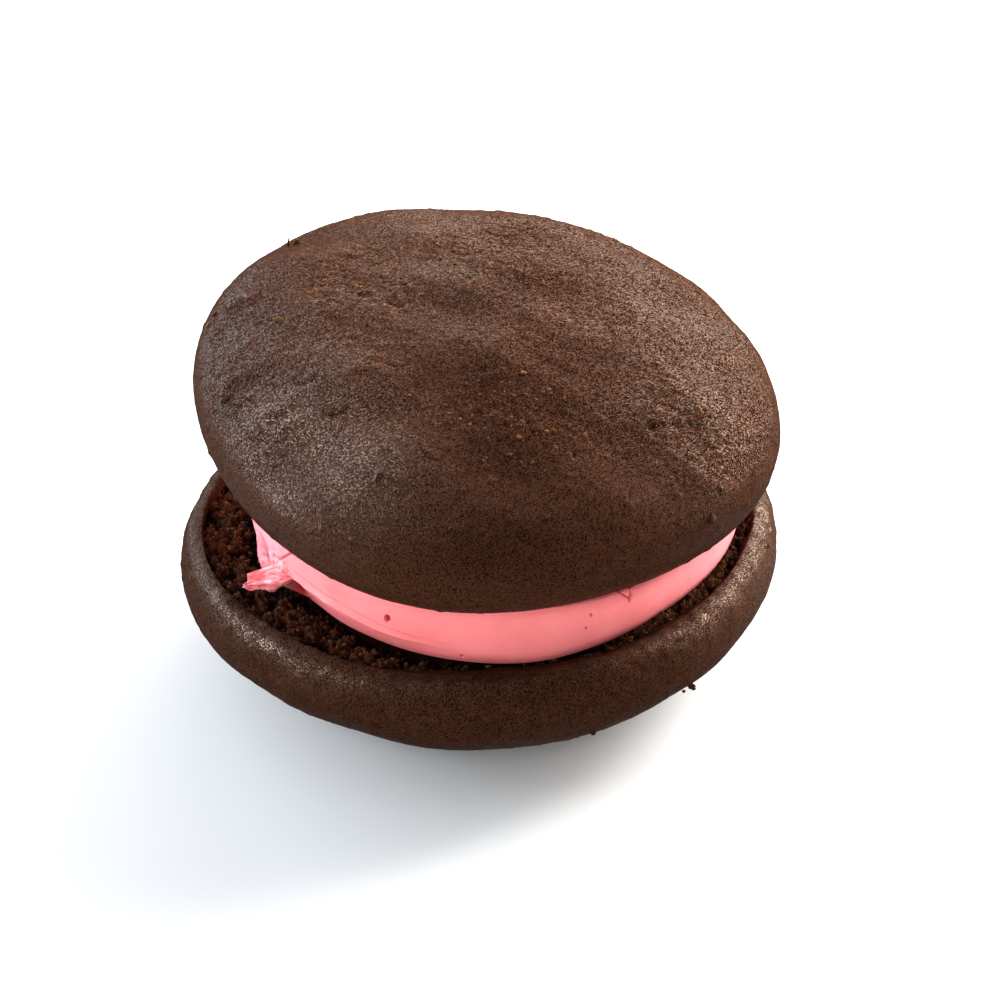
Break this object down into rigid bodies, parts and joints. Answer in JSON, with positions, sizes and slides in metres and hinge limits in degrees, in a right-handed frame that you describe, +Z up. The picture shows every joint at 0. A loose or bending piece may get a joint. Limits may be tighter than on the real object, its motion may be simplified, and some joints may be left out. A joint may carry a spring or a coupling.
{
  "type": "whoopie pie",
  "caption": "Round sandwich of domed cocoa cakes with thick pink buttercream between them, the upper cake leaning and a torn tag of cream over the crumb.",
  "frame": {"origin": "middle of the flat spot under the lower cake, on the surface that it rests on", "axes": "+Z up through the stack, +Y away from the side that the picture shows, +X to the right in the picture"},
  "size_m": [0.096, 0.0976, 0.0591],
  "materials": {
    "cake": "matte",
    "cream": "satin"
  },
  "bodies": {
    "root": {"lower_cake": "cake", "cream_filling": "cream", "upper_cake": "cake"}
  },
  "joints": []
}
